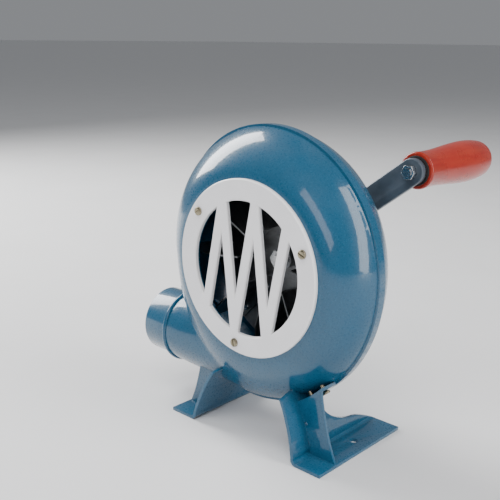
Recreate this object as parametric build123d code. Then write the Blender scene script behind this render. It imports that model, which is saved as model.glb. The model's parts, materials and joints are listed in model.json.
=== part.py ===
from build123d import *
import math
import os

# Hand-cranked centrifugal forge blower, in millimetres.
# +X is right seen from the inlet side, +Y goes from the inlet to the crank, +Z is up.
# The origin lies midway between the two foot bolt holes, on the surface that the feet stand on.

# Fan axis and the faces along it
AXIS_HEIGHT = 134.0
FACE_Y = -52.0
SEAM_DEPTH = 34.5
CASE_DEPTH = 72.0
WALL = 1.5

# Overshoot of a cut past the faces that it runs through
CUT = 1.0

# Small screws of the grille and the feet
SCREW_HOLE_RADIUS = 1.8
SCREW_SHANK_RADIUS = 1.7
PAN_HEAD_RADIUS = 3.2
PAN_HEAD_HEIGHT = 1.9
PAN_HEAD_ROUNDING = 1.0
PAN_HEAD_SLOT = (8.0, 1.6, 0.9)
PAN_HEAD_SEAT = 0.35
SCREW_REACH_INSIDE = 5.0

# Scroll outline: a spiral about its own centre, which closes again under the outlet neck
SCROLL_CENTRE = (-14.3, 3.9)
SCROLL_START_RADIUS = 82.7
SCROLL_GROWTH_PER_TURN = 44.0
SCROLL_START_ANGLE = 185.0
SCROLL_END_SHARE = 280.0 / 360.0
OUTLINE_POINTS = 36
DOME_STEPS = (0, 14, 28, 42, 56, 72, 90)
DOME_POWER = 2.0 / 1.64
FRONT_FLAT_RADIUS = 67.0
REAR_FLAT_RADIUS = 68.0
REAR_FLAT_CENTRE = (-9.0, 8.0)
HEM_HEIGHT = 1.3
HEM_FRONT = 3.5
HEM_REAR = 3.5
HEM_PLAY = 0.1

# Inlet and its grille
INLET_RADIUS = 50.0
GRILLE_RADIUS = 65.0
GRILLE_THICKNESS = 3.0
GRILLE_OPENING_RADIUS = 49.5
GRILLE_BAR_WIDTH = 8.0
GRILLE_BAR_PITCH = 15.6
GRILLE_BAR_LEAN = 9.25
GRILLE_TURN = -2.2
GRILLE_EDGE = 0.7
GRILLE_SCREW_CIRCLE = 57.8
GRILLE_SCREW_ANGLES = (142.0, 22.0, -98.0)

# Outlet neck and sleeve, along -X
OUTLET_DEPTH = 34.5
OUTLET_DROP = 76.6
NECK_END_X = -95.0
NECK_RADIUS = 28.8
NECK_ROOT_X = -14.0
NECK_ROOT_DROP = 77.25
NECK_ROOT_HALF_DEPTH = 27.0
NECK_ROOT_HALF_HEIGHT = 33.25
SLEEVE_RADIUS = 27.0
SLEEVE_MOUTH_X = -123.5
SLEEVE_INNER_X = -88.0
BEAD_X = -97.4
BEAD_CREST_RADIUS = 30.2
BEAD_FLANK = 3.4
BEAD_INNER_FLANK = 2.35
BEAD_SHOULDER = (2.0, 28.4)
BEAD_NOTCH = 3.0
NOTCH_FLOOR = 0.3

# Feet
FOOT_HOLE_X = 63.5
FOOT_HOLE_RADIUS = 3.25
FOOT_SHEET = 2.5
FOOT_FRONT_Y = -57.0
FOOT_REAR_Y = 42.0
FOOT_OUTER_X = 75.5
BEND_START = (54.2, 1.25)
BEND_MIDDLE = (51.2, 2.4)
LEG_FOOT = (50.2, 5.5)
LEG_MIDDLE = (42.7, 28.5)
LEG_TOP = (30.4, 50.0)
TOE_HEIGHT = 3.0
WEB_HEIGHTS = (43.5, 46.0)
LEG_REAR_DEPTH = 36.0
SWEEP_HEIGHTS = (36.0, 20.5, 13.0, 2.6)
SWEEP_DEPTHS = (36.0, 44.0, 62.0)
ABOVE_CASING = 75.0
GUSSET_DEPTH = 14.0
GUSSET_SHEET = 2.0
GUSSET_FOOT_X = 74.8
GUSSET_EDGE = ((69.0, 15.0), (64.6, 30.0), (60.6, 50.0), (59.6, 75.0))
CREASE_HOLE = (47.6, 24.5)
CREASE_HOLE_RADIUS = 1.5
TAB_SHEET = 2.0
RIGHT_TAB_X = (36.0, 60.5)
FLANGE_RISE = 0.7
LEFT_TAB_X = (-62.0, -43.0)
TAB_REAR_DEPTH = 30.5
RIGHT_SCREW_SHARES = (0.678, 0.658)
RIGHT_SCREW_STEP = 68.0
LEFT_SCREW_PLACES = (-50.0, -58.0)
LEFT_SCREW_TURN = -113.0

# Gear train: crank wheel, idler pinion and wheel, fan pinion
CRANK_OFFSET = (-21.5, 2.0)
CRANK_TEETH = 56
IDLER_PINION_TEETH = 12
FIRST_MODULE = 1.25
IDLER_TEETH = 48
FAN_PINION_TEETH = 12
SECOND_MODULE = 1.0
PRESSURE_ANGLE = 20.0
WHEEL_ADDENDUM = 0.75
PINION_ADDENDUM = 1.0
ROOT_CLEARANCE = 0.22
TOOTH_THINNING = 0.18

# Depths behind the inlet face of what stands along the shafts
BOSS_FRONT = 54.0
BASE_REAR = 75.0
GASKET = 0.8
FLANGE = 2.5
COVER_REAR = 101.0
COVER_WALL = 2.5
FRONT_LAYER = (79.0, 85.0)
FAN_PINION_LAYER = (78.0, 86.5)
REAR_LAYER = (89.0, 96.0)
IDLER_PINION_LAYER = (88.0, 97.0)
CRANK_BOSS_REAR = 105.0
ARM_FRONT = 109.5
FAN_SHAFT_FRONT = 31.0
FAN_SHAFT_STEP = 77.6
IDLER_SHAFT_ENDS = (73.8, 101.2)
CRANK_SHAFT_FRONT = 74.3
CRANK_STUD_REAR = 122.5

# Shafts and fits
FAN_SHAFT_RADIUS = 4.0
FAN_SEAT_RADIUS = 3.0
IDLER_SHAFT_RADIUS = 3.5
CRANK_SHAFT_RADIUS = 5.5
RUNNING_FIT = 0.04
BUSH_WALL = 2.5
FAN_BUSHES = ((BOSS_FRONT, 62.0), (69.0, 77.0))
IDLER_BUSHES = ((73.5, 78.0), (97.5, 101.5))
CRANK_BUSHES = ((74.0, 86.0), (98.5, CRANK_BOSS_REAR))
CRANK_GEAR_HOLES = (5, 20.5, 7.0)
IDLER_GEAR_HOLES = (4, 14.0, 5.0)

# Gearbox outline
CRANK_CAVITY = 38.5
IDLER_CAVITY = 26.8
FLANGE_REACH = 10.5
SCREW_REACH = 6.5
CRANK_SCREW_ANGLES = (130.0, 187.0, 245.0, 300.0)
IDLER_SCREW_ANGLES = (-10.0, 80.0)
FAN_BOSS = (11.0, 77.0)
CRANK_BASE_BOSS = (11.0, 86.0)
IDLER_BASE_BOSS = (8.5, 78.0)
CRANK_COVER_BOSS = 12.0
IDLER_COVER_BOSS = (8.5, 103.0)
COVER_ROUNDING = 6.0
COVER_INNER_ROUNDING = 3.0
REAR_SHELL_HOLE = 12.0
GEARBOX_HOLE_RADIUS = 2.1
GEARBOX_SHANK_RADIUS = 2.0
GEARBOX_SHANK_FRONT = 66.0
CHEESE_HEAD = (3.5, 3.0)
CHEESE_HEAD_EDGE = 0.5
CHEESE_HEAD_SLOT = (8.0, 2.4, 1.0)
GEARBOX_NUT = (7.0, 3.0)

# Impeller
IMPELLER_RADIUS = 76.0
IMPELLER_DISC_DEPTH = 48.0
IMPELLER_SHEET = 1.2
BLADES = 8
BLADE_FOOT = 9.0
BLADE_FRONT_CORNERS = ((26.0, 18.0), (46.0, 10.0), (74.0, 13.0))
BLADE_TIP_GAP = 1.0
RIVET_RADIUS = 1.6
RIVET_HEAD = (2.6, 1.2)
RIVET_HEAD_ROUNDING = 0.9
RIVET_TAIL = (2.4, 0.9)
RIVET_CIRCLES = (36.0, 66.0)
HUB_RIVET_CIRCLE = 11.5
HUB_RADIUS = 8.0
HUB_FRONT = 40.0
HUB_FLANGE = (15.0, 2.5)
IMPELLER_NUT = (13.0, 6.0)

# Crank arm and grip
ARM_LENGTH = 105.0
ARM_ANGLE = 36.7
ARM_WIDTH = 20.0
ARM_THICKNESS = 5.0
GRIP_LENGTH = 98.0
GRIP_NEAR_RADIUS = 14.2
GRIP_PLAY = 2.4
ARM_EDGE = 0.6
LONG_RIM = 30.0
STUD_RADIUS = 4.0
SPACER_RADIUS = 9.0
SPACER_PLAY = 0.4
CRANK_WASHER = (8.5, 1.4)
CRANK_NUT = (13.0, 6.5)
SPINDLE_RADIUS = 4.0
SPINDLE_THREAD_RADIUS = 3.0
SPINDLE_THREAD_END = 5.5
SPINDLE_HEAD = (7.0, 206.0, 209.0)
GRIP_NUT = (10.0, 4.5)
GRIP_WASHER = (9.2, 1.6)
GRIP_SWELL = ((0.3, 14.3), (0.78, 16.4))
GRIP_SHOULDER = (15.0, 8.0)
GRIP_NOSE = (11.8, 2.2)
GRIP_PLUG_RADIUS = 8.6
GRIP_FLOOR_DEPTH = 205.5
GRIP_RECESS = (11.4, 2.2)
GRIP_LIP = 1.8
GRIP_LIP_LENGTH = 2.0
CAP_FRONT = 210.0
CAP_RISE = 0.8
CAP_ROUNDING = 0.7


def depth(distance):
    """Y of a point that lies this far behind the inlet face."""
    return FACE_Y + distance


def rod(x, z, front, rear, radius):
    """Cylinder along Y at (x, z) from the fan axis, between two depths."""
    plane = Plane(origin=(x, depth(front), AXIS_HEIGHT + z), x_dir=(1, 0, 0), z_dir=(0, 1, 0))
    return extrude(plane * Circle(radius), amount=rear - front)


def plate(sketch, front, rear):
    """Extrude a sketch drawn in X and Z about the fan axis, between two depths."""
    plane = Plane(origin=(0, depth(rear), AXIS_HEIGHT), x_dir=(1, 0, 0), z_dir=(0, -1, 0))
    return extrude(plane * sketch, amount=rear - front)


def hexagon(x, z, front, rear, across_flats):
    """Hexagonal prism along Y."""
    outline = Pos(x, z) * RegularPolygon(across_flats / 2, 6, major_radius=False)
    return plate(outline, front, rear)


def along(angle, radius, centre=(0.0, 0.0)):
    """Point in X and Z at an angle and distance from a centre."""
    turn = math.radians(angle)
    return (centre[0] + radius * math.cos(turn), centre[1] + radius * math.sin(turn))


# ---------------------------------------------------------------- casing

def scroll_radius(share):
    """Distance of the outline from the scroll centre, at a share of the turn from the tongue."""
    last = SCROLL_START_RADIUS + SCROLL_GROWTH_PER_TURN * SCROLL_END_SHARE
    if share <= SCROLL_END_SHARE:
        return SCROLL_START_RADIUS + SCROLL_GROWTH_PER_TURN * share
    back = (share - SCROLL_END_SHARE) / (1.0 - SCROLL_END_SHARE)
    smooth = back * back * (3.0 - 2.0 * back)
    return last + (SCROLL_START_RADIUS - last) * smooth


def casing_section(blend, distance, flat_centre, flat_radius, grow):
    """Section of the casing: blend 0 is the flat's circle and 1 is the whole outline."""
    points = []
    for index in range(OUTLINE_POINTS):
        share = index / OUTLINE_POINTS
        angle = SCROLL_START_ANGLE - 360.0 * share
        inner = along(angle, flat_radius + grow, flat_centre)
        outer = along(angle, scroll_radius(share) + grow, SCROLL_CENTRE)
        x = inner[0] + (outer[0] - inner[0]) * blend
        z = inner[1] + (outer[1] - inner[1]) * blend
        points.append((x, depth(distance), AXIS_HEIGHT + z))
    return Face(Wire([Edge.make_spline([Vector(*p) for p in points], periodic=True)]))


def half_casing(flat_depth, flat_centre, flat_radius, grow):
    """Solid half of the casing from its flat face to the seam, grown or shrunk all over."""
    start = flat_depth - grow if flat_depth < SEAM_DEPTH else flat_depth + grow
    sections = []
    for step in DOME_STEPS:
        turn = math.radians(step)
        blend = math.sin(turn) ** DOME_POWER
        rise = 1.0 if step == 90 else 1.0 - math.cos(turn) ** DOME_POWER
        distance = start + (SEAM_DEPTH - start) * rise
        sections.append(casing_section(blend, distance, flat_centre, flat_radius, grow))
    return Solid.make_loft([face.outer_wire() for face in sections])


def front_half(grow):
    return half_casing(0.0, (0.0, 0.0), FRONT_FLAT_RADIUS, grow)


def rear_half(grow):
    return half_casing(CASE_DEPTH, REAR_FLAT_CENTRE, REAR_FLAT_RADIUS, grow)


def neck(grow):
    """Outlet neck: a round tube that deepens into the bottom of the scroll."""
    ends = (
        (NECK_END_X + min(grow, 0.0), OUTLET_DROP, NECK_RADIUS, NECK_RADIUS),
        (NECK_ROOT_X - min(grow, 0.0), NECK_ROOT_DROP, NECK_ROOT_HALF_DEPTH, NECK_ROOT_HALF_HEIGHT),
    )
    sections = []
    for x, drop, half_depth, half_height in ends:
        plane = Plane(
            origin=(x, depth(OUTLET_DEPTH), AXIS_HEIGHT - drop), x_dir=(0, 1, 0), z_dir=(1, 0, 0)
        )
        sections.append(plane * Ellipse(half_depth + grow, half_height + grow))
    return loft(sections, ruled=True)


def slab(front, rear):
    """Everything between two depths."""
    size = 400.0
    middle = depth((front + rear) / 2)
    return Pos(0, middle, AXIS_HEIGHT) * Box(size, rear - front, size)


def seam_prism(grow, front, rear):
    """The casing's outline at the seam, carried along Y between two depths."""
    outline = casing_section(1.0, rear, (0.0, 0.0), FRONT_FLAT_RADIUS, grow)
    return extrude(outline, amount=rear - front, dir=(0, -1, 0))


def hem():
    """Folded rim that covers the seam, round the scroll and along the neck."""
    band_front = SEAM_DEPTH - HEM_FRONT
    band_rear = SEAM_DEPTH + HEM_REAR
    return seam_prism(HEM_HEIGHT, band_front, band_rear) + (neck(HEM_HEIGHT) & slab(band_front, band_rear))


def front_shell():
    """Front pressing with the inlet, the front half of the neck and the folded hem."""
    cavity = front_half(-WALL) + neck(-WALL)
    shell = front_half(0.0) + (neck(0.0) & slab(-SEAM_DEPTH, SEAM_DEPTH)) + hem()
    room = seam_prism(HEM_PLAY, SEAM_DEPTH, SEAM_DEPTH + HEM_REAR + CUT)
    shell = shell - room - (neck(HEM_PLAY) & slab(SEAM_DEPTH, SEAM_DEPTH + CASE_DEPTH)) - cavity
    shell = shell - rod(0, 0, -CUT, WALL + CUT, INLET_RADIUS)
    for angle in GRILLE_SCREW_ANGLES:
        x, z = along(angle, GRILLE_SCREW_CIRCLE)
        shell = shell - rod(x, z, -CUT, WALL + CUT, SCREW_HOLE_RADIUS)
    for point, direction, _ in foot_screw_axes():
        shell = shell - screw_cylinder(point, direction, SCREW_HOLE_RADIUS, -4 * WALL, 2 * WALL)
    return shell


def rear_shell():
    """Rear pressing that carries the gearbox, with the rear half of the neck."""
    cavity = rear_half(-WALL) + neck(-WALL)
    shell = rear_half(0.0) + (neck(0.0) & slab(SEAM_DEPTH, SEAM_DEPTH + CASE_DEPTH))
    inside = CASE_DEPTH - WALL - CUT
    shell = shell - cavity - rod(0, 0, inside, CASE_DEPTH + CUT, REAR_SHELL_HOLE)
    return cut_screw_holes(shell, inside, CASE_DEPTH + CUT)


def sleeve_profile():
    """Wall of the spout in X and radius, with a bead: a round crest between two hollow flanks."""
    reach, height = BEAD_SHOULDER
    hollow_height = (2 * SLEEVE_RADIUS + height) / 3
    inner = ThreePointArc(
        (BEAD_X + BEAD_INNER_FLANK, SLEEVE_RADIUS),
        (BEAD_X + (reach + BEAD_INNER_FLANK) / 2, hollow_height),
        (BEAD_X + reach, height),
    )
    crest = ThreePointArc((BEAD_X + reach, height), (BEAD_X, BEAD_CREST_RADIUS), (BEAD_X - reach, height))
    outer = ThreePointArc(
        (BEAD_X - reach, height),
        (BEAD_X - (reach + BEAD_FLANK) / 2, hollow_height),
        (BEAD_X - BEAD_FLANK, SLEEVE_RADIUS),
    )
    bore = SLEEVE_RADIUS - WALL
    wall = Polyline(
        (BEAD_X - BEAD_FLANK, SLEEVE_RADIUS),
        (SLEEVE_MOUTH_X, SLEEVE_RADIUS),
        (SLEEVE_MOUTH_X, bore),
        (SLEEVE_INNER_X, bore),
        (SLEEVE_INNER_X, SLEEVE_RADIUS),
        (BEAD_X + BEAD_INNER_FLANK, SLEEVE_RADIUS),
    )
    return make_face(inner + crest + outer + wall)


def outlet_sleeve():
    """Round spout for the air hose, with a rolled bead where it meets the neck."""
    axis_z = AXIS_HEIGHT - OUTLET_DROP
    sleeve = Pos(0, depth(OUTLET_DEPTH), axis_z) * revolve(Plane.XZ * sleeve_profile(), Axis.X)
    notch_height = BEAD_CREST_RADIUS - SLEEVE_RADIUS
    notch_z = axis_z + SLEEVE_RADIUS + notch_height / 2 + NOTCH_FLOOR
    notch = Pos(BEAD_X, depth(OUTLET_DEPTH), notch_z) * Box(2 * BEAD_FLANK, BEAD_NOTCH, notch_height)
    return sleeve - notch


# ---------------------------------------------------------------- inlet grille

def inlet_grille():
    """Round plate whose slots stand between five bars in a zigzag."""
    slots = Sketch() + Circle(GRILLE_OPENING_RADIUS)
    for index in range(-2, 3):
        lean = -GRILLE_BAR_LEAN if index % 2 == 0 else GRILLE_BAR_LEAN
        bar = Rot(0, 0, GRILLE_TURN) * Pos(index * GRILLE_BAR_PITCH, 0) * Rot(0, 0, lean)
        slots = slots - bar * Rectangle(GRILLE_BAR_WIDTH, 3 * GRILLE_OPENING_RADIUS)
    disc = plate(Circle(GRILLE_RADIUS), -GRILLE_THICKNESS, 0.0)
    grille = disc - plate(slots, -GRILLE_THICKNESS, 0.0)
    front_edges = grille.faces().sort_by(Axis.Y)[0].edges()
    grille = chamfer(front_edges, GRILLE_EDGE)
    for angle in GRILLE_SCREW_ANGLES:
        x, z = along(angle, GRILLE_SCREW_CIRCLE)
        grille = grille - rod(x, z, -GRILLE_THICKNESS - CUT, CUT, SCREW_HOLE_RADIUS)
    return grille


def grille_screws():
    """Three slotted pan-head screws."""
    screws = []
    head_front = -GRILLE_THICKNESS - PAN_HEAD_HEIGHT
    for angle in GRILLE_SCREW_ANGLES:
        x, z = along(angle, GRILLE_SCREW_CIRCLE)
        head = rod(x, z, head_front, -GRILLE_THICKNESS, PAN_HEAD_RADIUS)
        head = fillet(head.edges().group_by(Axis.Y)[0], PAN_HEAD_ROUNDING)
        slot = Pos(x, depth(head_front), AXIS_HEIGHT + z) * Rot(0, angle, 0) * Box(*PAN_HEAD_SLOT)
        screws.append(head - slot + rod(x, z, -GRILLE_THICKNESS, SCREW_REACH_INSIDE, SCREW_SHANK_RADIUS))
    return screws


# ---------------------------------------------------------------- feet

def foot_section():
    """Section of the right foot in X and Z from the ground: base plate, bend and leaning leg."""
    base = Line((FOOT_OUTER_X, FOOT_SHEET / 2), BEND_START)
    bend = ThreePointArc(BEND_START, BEND_MIDDLE, LEG_FOOT)
    leg = ThreePointArc(LEG_FOOT, LEG_MIDDLE, LEG_TOP)
    return trace(base + bend + leg, FOOT_SHEET)


def foot_side():
    """Side outline of a foot in Y and Z: a tall front that sweeps down to the rear tip."""
    ground = Line((FOOT_REAR_Y, -CUT), (FOOT_FRONT_Y, -CUT))
    front = Polyline(
        (FOOT_FRONT_Y, -CUT),
        (FOOT_FRONT_Y, TOE_HEIGHT),
        (depth(0.0), WEB_HEIGHTS[0]),
        (depth(GUSSET_DEPTH), WEB_HEIGHTS[1]),
    )
    rise = Polyline(
        (depth(GUSSET_DEPTH), WEB_HEIGHTS[1]),
        (depth(GUSSET_DEPTH), ABOVE_CASING),
        (depth(LEG_REAR_DEPTH), ABOVE_CASING),
        (depth(LEG_REAR_DEPTH), SWEEP_HEIGHTS[0]),
    )
    sweep = Spline(
        *[(depth(place), height) for place, height in zip(SWEEP_DEPTHS, SWEEP_HEIGHTS)],
        (FOOT_REAR_Y, SWEEP_HEIGHTS[-1]),
        tangents=((0, -1), (1, -0.5)),
    )
    tip = Line((FOOT_REAR_Y, SWEEP_HEIGHTS[-1]), (FOOT_REAR_Y, -CUT))
    return make_face(ground + front + rise + sweep + tip)


def foot_gusset():
    """Cross sheet between the leg and the outer edge of the base plate."""
    inside_base = FOOT_SHEET / 2
    outer = Spline((GUSSET_FOOT_X, inside_base), *GUSSET_EDGE)
    top = Polyline(GUSSET_EDGE[-1], (LEG_TOP[0], ABOVE_CASING), LEG_TOP)
    leg = ThreePointArc(LEG_TOP, LEG_MIDDLE, LEG_FOOT)
    bottom = Polyline(LEG_FOOT, BEND_START, (GUSSET_FOOT_X, inside_base))
    return make_face(outer + top + leg + bottom)


def foot_sheets():
    """Leg with its base plate, and the gusset, of the right foot before they are trimmed."""
    section = Plane(origin=(0, FOOT_REAR_Y, 0), x_dir=(1, 0, 0), z_dir=(0, -1, 0)) * foot_section()
    strip = extrude(section, amount=FOOT_REAR_Y - FOOT_FRONT_Y)
    side = extrude(Plane.YZ * foot_side(), amount=FOOT_OUTER_X + CUT)
    gusset_rear = GUSSET_DEPTH + GUSSET_SHEET
    gusset_plane = Plane(origin=(0, depth(gusset_rear), 0), x_dir=(1, 0, 0), z_dir=(0, -1, 0))
    gusset = extrude(gusset_plane * foot_gusset(), amount=GUSSET_SHEET)
    hole = Pos(FOOT_HOLE_X, 0, 0) * Cylinder(FOOT_HOLE_RADIUS, 4 * FOOT_SHEET)
    x, z = CREASE_HOLE
    small_hole = rod(x, z - AXIS_HEIGHT, GUSSET_DEPTH - CUT, gusset_rear + CUT, CREASE_HOLE_RADIUS)
    return (strip & side) - hole - small_hole, gusset - small_hole


def casing_solid(grow):
    return front_half(grow) + neck(grow)


def tab_room(span, front):
    """Box from a depth to the rear end of a tab, over a span in X."""
    middle = (sum(span) / 2, depth((front + TAB_REAR_DEPTH) / 2), ABOVE_CASING / 2)
    return Pos(*middle) * Box(span[1] - span[0], TAB_REAR_DEPTH - front, ABOVE_CASING)


def trim_foot(body):
    """Trim a foot to the casing and drill it for its screws."""
    body = body - casing_solid(0.0) - hem()
    for point, direction, seat in foot_screw_axes():
        body = body - screw_cylinder(point, direction, SCREW_HOLE_RADIUS, -4 * WALL, seat + CUT)
    return body.solids().sort_by(SortBy.VOLUME)[-1]


def right_foot():
    """Right foot: its gusset ends in a flange that runs back under the casing."""
    leg, gusset = foot_sheets()
    lower = seam_prism(TAB_SHEET - FLANGE_RISE, GUSSET_DEPTH, TAB_REAR_DEPTH)
    upper = seam_prism(-FLANGE_RISE, GUSSET_DEPTH - CUT, TAB_REAR_DEPTH + CUT)
    flange = (lower - upper) & tab_room(RIGHT_TAB_X, GUSSET_DEPTH)
    return trim_foot(leg + (gusset - upper) + flange)


def left_foot():
    """Left foot: behind its gusset a tab lies along the neck."""
    leg, gusset = foot_sheets()
    body = mirror(leg + gusset, Plane.YZ)
    tab = casing_solid(TAB_SHEET) & tab_room(LEFT_TAB_X, GUSSET_DEPTH + GUSSET_SHEET / 2)
    return trim_foot(body + tab)


def dome_point(share, step):
    """Point on the front dome's outer surface, at a share of the turn and a step of its profile."""
    turn = math.radians(step)
    blend = math.sin(turn) ** DOME_POWER
    angle = SCROLL_START_ANGLE - 360.0 * share
    inner = along(angle, FRONT_FLAT_RADIUS)
    outer = along(angle, scroll_radius(share), SCROLL_CENTRE)
    x = inner[0] + (outer[0] - inner[0]) * blend
    z = inner[1] + (outer[1] - inner[1]) * blend
    return Vector(x, depth(SEAM_DEPTH * (1.0 - math.cos(turn) ** DOME_POWER)), AXIS_HEIGHT + z)


def foot_screw_axes():
    """Point on the casing, outward direction and height of the head's seat of each foot screw."""
    axes = []
    small = 0.01
    for share in RIGHT_SCREW_SHARES:
        point = dome_point(share, RIGHT_SCREW_STEP)
        around = dome_point(share + small, RIGHT_SCREW_STEP) - point
        direction = Vector(around.Z, 0, -around.X).normalized()
        if direction.Z > 0:
            direction = direction * -1
        below = (dome_point(share, 90.0) - point).dot(direction)
        axes.append((point, direction, below + TAB_SHEET - FLANGE_RISE + PAN_HEAD_SEAT))
    turn = math.radians(LEFT_SCREW_TURN)
    for x in LEFT_SCREW_PLACES:
        share = (x - NECK_END_X) / (NECK_ROOT_X - NECK_END_X)
        half_depth = NECK_RADIUS + (NECK_ROOT_HALF_DEPTH - NECK_RADIUS) * share
        half_height = NECK_RADIUS + (NECK_ROOT_HALF_HEIGHT - NECK_RADIUS) * share
        drop = OUTLET_DROP + (NECK_ROOT_DROP - OUTLET_DROP) * share
        y = depth(OUTLET_DEPTH) + half_depth * math.cos(turn)
        z = AXIS_HEIGHT - drop + half_height * math.sin(turn)
        direction = Vector(0, math.cos(turn) / half_depth, math.sin(turn) / half_height)
        axes.append((Vector(x, y, z), direction.normalized(), TAB_SHEET + PAN_HEAD_SEAT))
    return axes


def screw_cylinder(point, direction, radius, start, end):
    """Cylinder along an outward direction, from one height above a point to another."""
    plane = Plane(origin=point + direction * start, z_dir=direction)
    return extrude(plane * Circle(radius), amount=end - start)


def foot_screws():
    """Pan-head screws through the tabs of both feet."""
    screws = []
    for point, direction, seat in foot_screw_axes():
        head = screw_cylinder(point, direction, PAN_HEAD_RADIUS, seat, seat + PAN_HEAD_HEIGHT)
        shank = screw_cylinder(point, direction, SCREW_SHANK_RADIUS, -SCREW_REACH_INSIDE, seat + WALL / 2)
        screws.append(head + shank)
    return screws


# ---------------------------------------------------------------- gears

def involute_point(base_radius, radius, start):
    """Point of an involute from the base circle, turned by a start angle, at a radius."""
    roll = math.sqrt(max((radius / base_radius) ** 2 - 1.0, 0.0))
    angle = start + roll - math.atan(roll)
    return (radius * math.cos(angle), radius * math.sin(angle))


def gear_outline(module, teeth, addendum, mate_addendum, tooth_at):
    """Face of a spur gear, with a tooth pointing along the angle tooth_at in degrees."""
    pitch = module * teeth / 2
    base = pitch * math.cos(math.radians(PRESSURE_ANGLE))
    tip = pitch + module * addendum
    root = pitch - module * (mate_addendum + ROOT_CLEARANCE)
    roll = math.tan(math.radians(PRESSURE_ANGLE))
    half_tooth = math.pi / (2 * teeth) - TOOTH_THINNING / (2 * pitch)
    start = -half_tooth - (roll - math.atan(roll))
    low = max(base, root)
    radii = [low + (tip - low) * step / 3 for step in range(4)]
    flank = [involute_point(base, radius, start) for radius in radii]
    if root < base:
        flank.insert(0, (root * math.cos(start), root * math.sin(start)))
    other = [(x, -y) for x, y in reversed(flank)]
    points = []
    for index in range(teeth):
        turn = math.radians(tooth_at) + 2 * math.pi * index / teeth
        cosine = math.cos(turn)
        sine = math.sin(turn)
        points += [(x * cosine - y * sine, x * sine + y * cosine) for x, y in flank + other]
    return make_face(Polyline(*points, close=True))


def centre_angle(start, end):
    """Angle in degrees from one centre to another, in X and Z."""
    return math.degrees(math.atan2(end[1] - start[1], end[0] - start[0]))


def idler_centre():
    """Idler axis, from the two centre distances of the train."""
    to_crank = FIRST_MODULE * (CRANK_TEETH + IDLER_PINION_TEETH) / 2
    to_fan = SECOND_MODULE * (IDLER_TEETH + FAN_PINION_TEETH) / 2
    between = math.hypot(*CRANK_OFFSET)
    share = (to_fan ** 2 - to_crank ** 2 + between ** 2) / (2 * between)
    height = math.sqrt(to_fan ** 2 - share ** 2)
    ux = CRANK_OFFSET[0] / between
    uz = CRANK_OFFSET[1] / between
    return (ux * share + uz * height, uz * share - ux * height)


IDLER_OFFSET = idler_centre()
FAN_OFFSET = (0.0, 0.0)


def gear(centre, layer, outline, bore):
    """Spur gear between two depths, with a round bore."""
    body = plate(Pos(*centre) * outline, layer[0], layer[1])
    return body - rod(centre[0], centre[1], layer[0] - CUT, layer[1] + CUT, bore)


def lighten(wheel, centre, layer, holes):
    """Cut a ring of round holes in a wheel."""
    count, circle, radius = holes
    for index in range(count):
        x, z = along(360.0 * (index + 0.5) / count, circle, centre)
        wheel = wheel - rod(x, z, layer[0] - CUT, layer[1] + CUT, radius)
    return wheel


def crank_gear():
    """Large first wheel, with lightening holes."""
    toward = centre_angle(CRANK_OFFSET, IDLER_OFFSET)
    outline = gear_outline(FIRST_MODULE, CRANK_TEETH, WHEEL_ADDENDUM, PINION_ADDENDUM, toward)
    wheel = gear(CRANK_OFFSET, REAR_LAYER, outline, CRANK_SHAFT_RADIUS)
    return lighten(wheel, CRANK_OFFSET, REAR_LAYER, CRANK_GEAR_HOLES)


def idler_pinion():
    toward = centre_angle(IDLER_OFFSET, CRANK_OFFSET) + 180.0 / IDLER_PINION_TEETH
    outline = gear_outline(FIRST_MODULE, IDLER_PINION_TEETH, PINION_ADDENDUM, WHEEL_ADDENDUM, toward)
    return gear(IDLER_OFFSET, IDLER_PINION_LAYER, outline, IDLER_SHAFT_RADIUS)


def idler_gear():
    """Second wheel, with lightening holes."""
    toward = centre_angle(IDLER_OFFSET, FAN_OFFSET)
    outline = gear_outline(SECOND_MODULE, IDLER_TEETH, WHEEL_ADDENDUM, PINION_ADDENDUM, toward)
    wheel = gear(IDLER_OFFSET, FRONT_LAYER, outline, IDLER_SHAFT_RADIUS)
    return lighten(wheel, IDLER_OFFSET, FRONT_LAYER, IDLER_GEAR_HOLES)


def fan_pinion():
    toward = centre_angle(FAN_OFFSET, IDLER_OFFSET) + 180.0 / FAN_PINION_TEETH
    outline = gear_outline(SECOND_MODULE, FAN_PINION_TEETH, PINION_ADDENDUM, WHEEL_ADDENDUM, toward)
    return gear(FAN_OFFSET, FAN_PINION_LAYER, outline, FAN_SEAT_RADIUS)


# ---------------------------------------------------------------- gearbox

def two_lobes(crank_reach, idler_reach):
    """Outline round the crank and idler axes: two circles joined by their outer tangents."""
    crank = Pos(*CRANK_OFFSET) * Circle(crank_reach)
    idler = Pos(*IDLER_OFFSET) * Circle(idler_reach)
    return make_hull(crank.edges() + idler.edges())


def gearbox_screw_places():
    """Places of the screws round the gearbox flange."""
    places = [along(angle, CRANK_CAVITY + SCREW_REACH, CRANK_OFFSET) for angle in CRANK_SCREW_ANGLES]
    places += [along(angle, IDLER_CAVITY + SCREW_REACH, IDLER_OFFSET) for angle in IDLER_SCREW_ANGLES]
    return places


def cut_screw_holes(body, front, rear):
    """Drill the holes of the gearbox screws between two depths."""
    for x, z in gearbox_screw_places():
        body = body - rod(x, z, front, rear, GEARBOX_HOLE_RADIUS)
    return body


def bushes(centre, spans, shaft_radius):
    """Plain bushes with a running fit on their shaft."""
    pieces = []
    for front, rear in spans:
        outside = rod(*centre, front, rear, shaft_radius + BUSH_WALL)
        pieces.append(outside - rod(*centre, front - CUT, rear + CUT, shaft_radius + RUNNING_FIT))
    return pieces


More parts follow.
